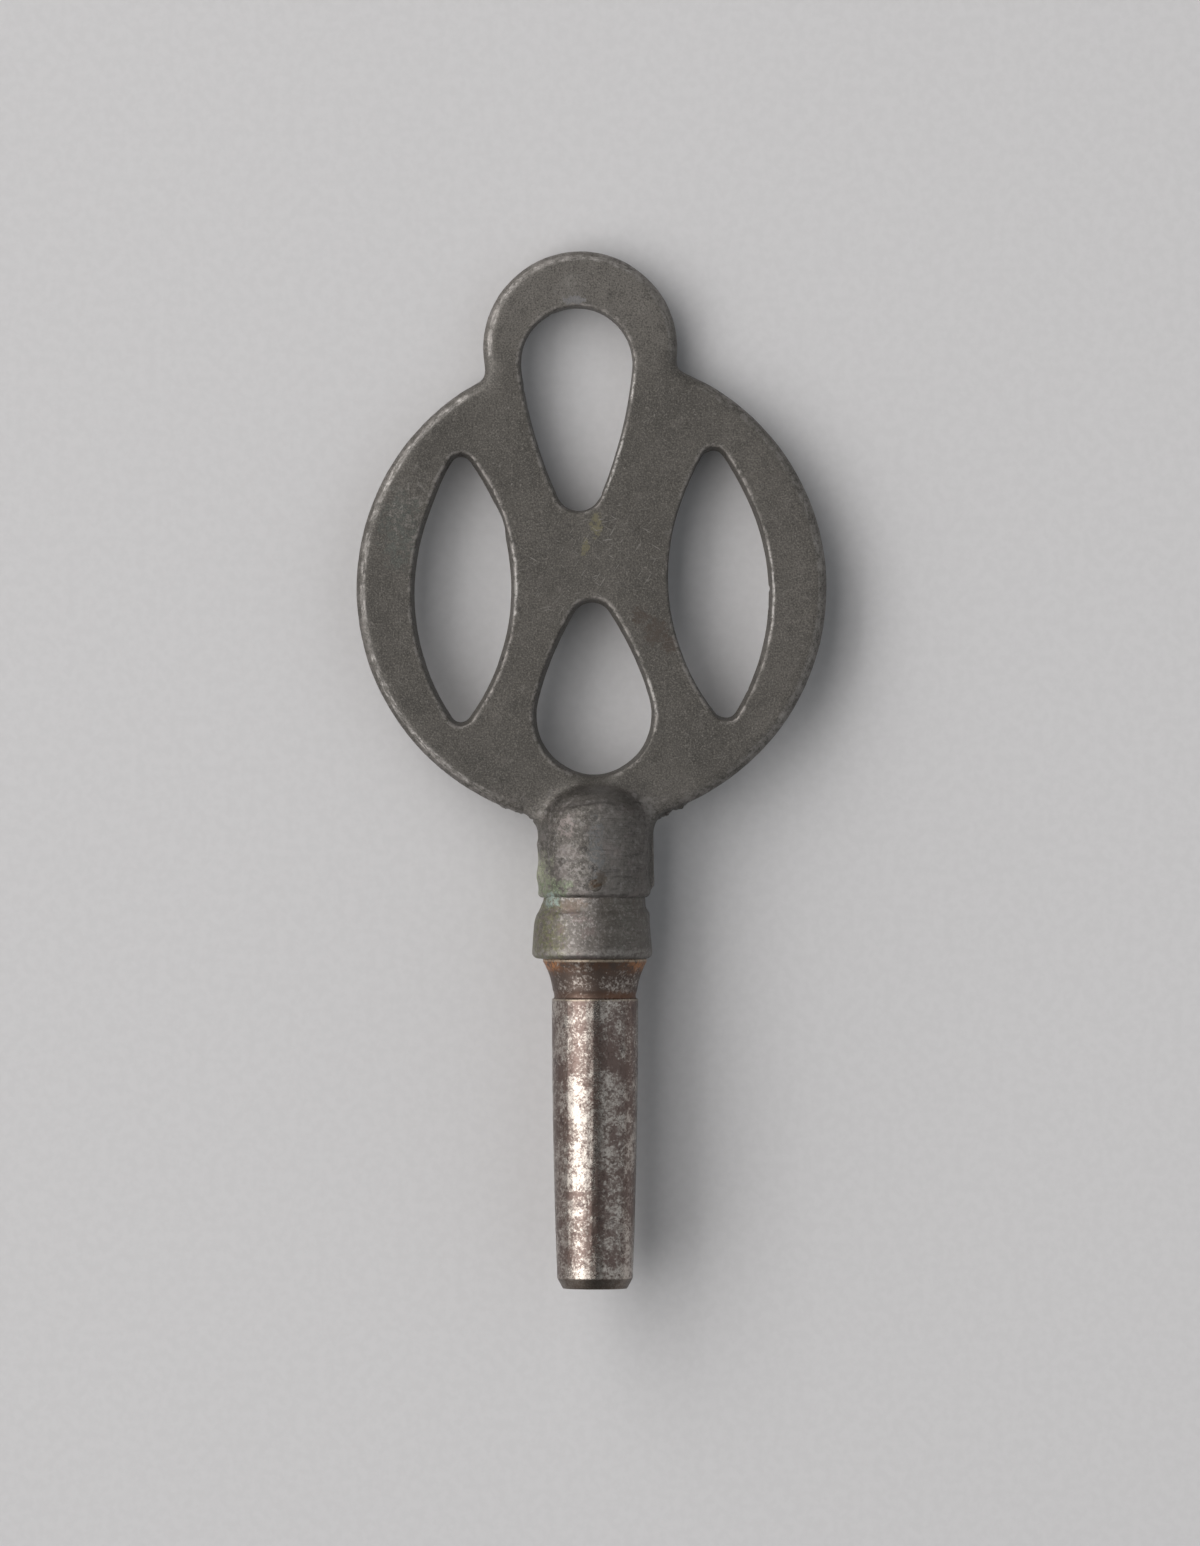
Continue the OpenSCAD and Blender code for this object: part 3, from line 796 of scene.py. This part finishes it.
def ferrule_metal():
    """The casting's grey, more mottled, brownish on the lit side, green at the left, with a bright lip;
    painted highlight: pale specks gather on the lit band, and a pale sheen runs down it.
    """
    m = Material("ferrule_metal")
    grain = m.noise(0.13, 3, 0.65)
    specks = m.noise(0.34, 6, 0.75)
    tone = m.mix(m.steps(m.noise(1.6, 5, 0.6), 0.35, 0.65), (0.098, 0.087, 0.076), (0.147, 0.132, 0.119))
    lit_side = m.steps(m.ragged(m.x, 0.8, 1.0), 0.6, -0.2)
    lit_band = m.times(lit_side, m.between(m.steps(m.x, -3.0, -1.9), 0.35, 1.0))
    # Partly painted highlight: the pale specks are densest on the lit band.
    tone = mottled(m, tone, m.between(lit_band, 0.45, 1.0), (0.38, 0.352, 0.336), (0.060, 0.048, 0.042), 0.32)
    turning = m.noise(0.3, 4, 0.65, (5, 0.7, 5))
    tone = m.tint(tone, (0.060, 0.052, 0.046), m.steps(turning, 0.52, 0.66), 0.4)
    tone = m.tint(tone, (0.050, 0.043, 0.037), m.steps(grain, 0.52, 0.7), 0.5)
    tone = m.tint(tone, (0.140, 0.097, 0.092), lit_side, m.steps(m.noise(0.9, 5, 0.7), 0.49, 0.61), 0.5)
    # Painted highlight: a pale sheen down the lit part of the ring.
    sheen = m.times(m.steps(m.x, -2.5, -1.5), m.steps(m.x, 0.9, -0.3))
    tone = m.tint(tone, (0.30, 0.280, 0.266), sheen, 0.14)
    crusted = m.steps(m.ragged(m.x, 1.0, 2.2), -1.7, -2.8)
    tone = m.tint(tone, (0.172, 0.152, 0.124), crusted, m.steps(m.noise(0.5, 5, 0.7), 0.46, 0.58), 0.55)
    tone = verdigris(m, tone, crusted, 0.72, (0.126, 0.127, 0.062))
    tone = verdigris(m, tone, m.steps(m.x, 0.5, 2.5), 0.25, (0.080, 0.084, 0.069))
    brown = m.near((-1.6, 26.8, 3.2), 0.8, 0.4, (1.4, 0.6, 1))
    tone = m.tint(tone, (0.125, 0.082, 0.052), brown, 0.4)
    tone = mint_crumbs(m, tone)
    lip = m.times(m.steps(m.y, LIP_MM + 0.1, LIP_MM + 0.3), m.steps(m.y, LIP_MM + 0.85, LIP_MM + 0.5))
    lip = m.times(lip, m.steps(specks, 0.42, 0.56))
    tone = m.tint(tone, (0.34, 0.32, 0.30), lip, 0.5)
    m.set(Base_Color=tone, Metallic=m.between(lip, 0.6, 0.85))
    m.set(Roughness=m.between(m.noise(0.6, 4), 0.36, 0.50))
    m.set(Normal=m.bump(m.noise(1.0, 4), 0.05, m.bump(specks, 0.035, m.bump(grain, 0.02))))
    return m.material


def pipe_steel():
    """Steel under a broken brown patina: bright where it is rubbed, rusty on the neck."""
    m = Material("pipe_steel")
    wide = m.noise(1.8, 3, 0.55)
    flecks = m.noise(0.4, 6, 0.8)
    fine = m.noise(0.15, 3, 0.7)
    cells = m.plus(m.times(m.flakes(0.14), 0.10), m.times(m.flakes(0.3), 0.07))
    bare = m.most(*(m.near(place, radius, 0.8, (0.8, 1.2, 1)) for place, radius in RUBBED_STEEL_MM))
    clouds = m.plus(m.times(wide, 0.55), m.times(flecks, 0.50), m.times(fine, 0.4))
    cover = m.plus(clouds, cells, m.times(bare, -0.08))

    patina = m.steps(cover, 0.678, 0.868)
    stain = m.mix(m.steps(wide, 0.35, 0.65), (0.202, 0.163, 0.144), (0.160, 0.118, 0.104))
    tone = m.mix(patina, (0.500, 0.455, 0.410), stain)
    pits = m.times(m.steps(flecks, 0.52, 0.60), m.steps(fine, 0.50, 0.60))
    tone = m.tint(tone, (0.064, 0.045, 0.039), pits, 0.7)
    blots = m.steps(m.noise(1.1, 5, 0.65), 0.58, 0.68)
    tone = m.tint(tone, (0.085, 0.062, 0.058), blots, m.between(fine, 0.4, 0.9))
    crackle = m.times(m.cracks(0.55, 0.10), m.steps(m.noise(1.3, 3), 0.46, 0.60))
    tone = m.tint(tone, (0.100, 0.076, 0.066), crackle, 0.4)

    neck = m.steps(m.y, NECK_FOOT_MM - 0.04, NECK_FOOT_MM + 0.04)
    tone, rust = rusty_neck(m, tone, neck, cover, fine)
    rubbed = m.times(m.bulge(0.02, 0.05), m.steps(fine, 0.36, 0.5))
    tone = m.tint(tone, (0.46, 0.40, 0.31), rubbed, 0.6)
    tip = m.steps(m.y, 0.80, 0.66)
    tone = m.tint(tone, (0.113, 0.092, 0.076), tip, m.between(fine, 0.6, 1.0))

    rough = m.plus(m.between(patina, 0.21, 0.32), m.most(m.times(neck, 0.13), m.times(tip, 0.12)))
    metal = m.math("SUBTRACT", 1.0, m.most(m.times(neck, 0.30), m.times(rust, 0.7)))
    m.set(Base_Color=tone, Metallic=metal, Roughness=rough)
    m.set(Normal=m.bump(fine, 0.008, m.bump(flecks, 0.016)))
    return m.material


def rusty_neck(m, tone, neck, cover, fine):
    """The tone with the neck's darker patina and rust, and the mask of the rust under the ferrule."""
    neck_cover = m.math("SUBTRACT", cover, m.times(m.steps(m.x, 0.2, 1.2), 0.06))
    tone = m.tint(tone, (0.084, 0.061, 0.050), neck, m.steps(neck_cover, 0.638, 0.798), 0.94)
    tone = m.tint(tone, (0.074, 0.052, 0.042), neck, 0.36)
    specks = m.steps(m.noise(0.6, 6, 0.75), 0.40, 0.56)
    aside = m.math("ABSOLUTE", m.x)
    sides = m.between(m.steps(aside, 1.6, 2.9), 0.25, 1.0)
    rust = m.times(m.steps(m.y, LIP_MM - 1.4, LIP_MM - 0.4), specks, sides)
    tone = m.tint(tone, (0.215, 0.090, 0.034), rust, 0.85)
    flange = m.times(m.steps(m.y, LIP_MM - 1.0, LIP_MM - 0.5), m.steps(aside, 2.4, 3.0), specks)
    tone = m.tint(tone, (0.35, 0.150, 0.052), flange, m.between(m.steps(fine, 0.40, 0.58), 0.35, 0.95))
    foot = m.steps(m.ragged(m.y, 0.5, 0.5), NECK_FOOT_MM + 0.7, NECK_FOOT_MM + 0.3)
    tone = m.tint(tone, (0.125, 0.062, 0.036), neck, foot, m.between(m.steps(m.x, 0.0, 1.6), 0.3, 0.9))
    return tone, m.most(rust, flange)


def pin_steel():
    """Rusted steel, dressed flush and nearly as grey as the boss around it."""
    m = Material("pin_steel")
    tone = m.mix(m.steps(m.noise(0.35, 5), 0.42, 0.6), (0.112, 0.100, 0.088), (0.078, 0.056, 0.040))
    m.set(Base_Color=tone, Metallic=0.8, Roughness=0.5)
    m.set(Normal=m.bump(m.noise(0.15, 4), 0.04))
    return m.material


def floor_paper():
    """Matt pale paper with faint clouds and a fine grain."""
    m = Material("paper")
    clouds = m.mix(m.noise(25, 2), tuple(c * 0.985 for c in FLOOR_COLOUR), FLOOR_COLOUR)
    darker = m.mix(1.0, clouds, (0.965, 0.965, 0.965), "MULTIPLY")
    tone = m.mix(m.steps(m.noise(0.7, 3, 0.6), 0.35, 0.65), clouds, darker)
    m.set(Base_Color=tone, Roughness=0.95, Specular_IOR_Level=0.1)
    return m.material


# Stage


def make_floor(table):
    side = FLOOR_HALF_SIDE
    mesh = bpy.data.meshes.new("floor")
    corners = [(-side, -side, 0), (side, -side, 0), (side, side, 0), (-side, side, 0)]
    mesh.from_pydata(corners, [], [(0, 1, 2, 3)])
    floor = bpy.data.objects.new("floor", mesh)
    bpy.context.scene.collection.objects.link(floor)
    floor.matrix_world = table
    mesh.materials.append(floor_paper())


def make_camera():
    """A long lens straight above the key's own plane."""
    data = bpy.data.cameras.new("camera")
    data.sensor_width = SENSOR_MM
    data.lens = SENSOR_MM * CAMERA_HEIGHT_MM / (PHOTO_SIZE[1] * PIXEL_MM)
    camera = bpy.data.objects.new("camera", data)
    bpy.context.scene.collection.objects.link(camera)
    camera.location = (
        (PHOTO_SIZE[0] / 2 - PIPE_END_PIXEL[0]) * PIXEL_MM * MM,
        (PIPE_END_PIXEL[1] - PHOTO_SIZE[1] / 2) * PIXEL_MM * MM,
        CAMERA_HEIGHT_MM * MM,
    )
    bpy.context.scene.camera = camera


def make_softbox(table, name, aside, towards_top, width, radiance, colour):
    """A long rectangular lamp, placed by its angles from straight above the key and aimed at it."""
    way = Vector((math.tan(math.radians(aside)), math.tan(math.radians(towards_top)), 1)).normalized()
    across = Vector((0, 1, 0)).cross(way).normalized()
    along = way.cross(across)
    turn = Matrix((across, along, way)).transposed().to_4x4()
    data = bpy.data.lights.new(name, "AREA")
    data.shape = "RECTANGLE"
    data.size = width
    data.size_y = LAMP_LENGTH
    data.energy = radiance * math.pi * width * LAMP_LENGTH
    data.color = colour
    lamp = bpy.data.objects.new(name, data)
    bpy.context.scene.collection.objects.link(lamp)
    place = Vector((0, LAMP_AIM_MM * MM, 0)) + way * LAMP_DISTANCE
    lamp.matrix_world = table @ Matrix.Translation(place) @ turn


def make_world():
    """A faint even light from all round."""
    world = bpy.data.worlds.new("room")
    bpy.context.scene.world = world
    world.use_nodes = True
    back = world.node_tree.nodes["Background"]
    back.inputs["Color"].default_value = (1, 1, 1, 1)
    back.inputs["Strength"].default_value = ROOM_STRENGTH


table = rest_plane()
weathered("bow", "bow_casting", CASTING_VOXEL_MM, CASTING_ROUNDING, casting_metal(),
          wear_casting, "cross_pin")
weathered("ferrule", "ferrule_ring", FERRULE_VOXEL_MM, FERRULE_ROUNDING, ferrule_metal(),
          wear_ferrule)
weathered("pipe", "pipe_turned", PIPE_VOXEL_MM, PIPE_ROUNDING, pipe_steel(), wear_pipe)
weathered("cross_pin", "pin_end", PIN_VOXEL_MM, PIN_ROUNDING, pin_steel(), wear_pin)
make_floor(table)
make_camera()
for name, lamp in LAMPS.items():
    make_softbox(table, name, *lamp)
make_world()
bpy.context.scene.view_settings.view_transform = "Standard"
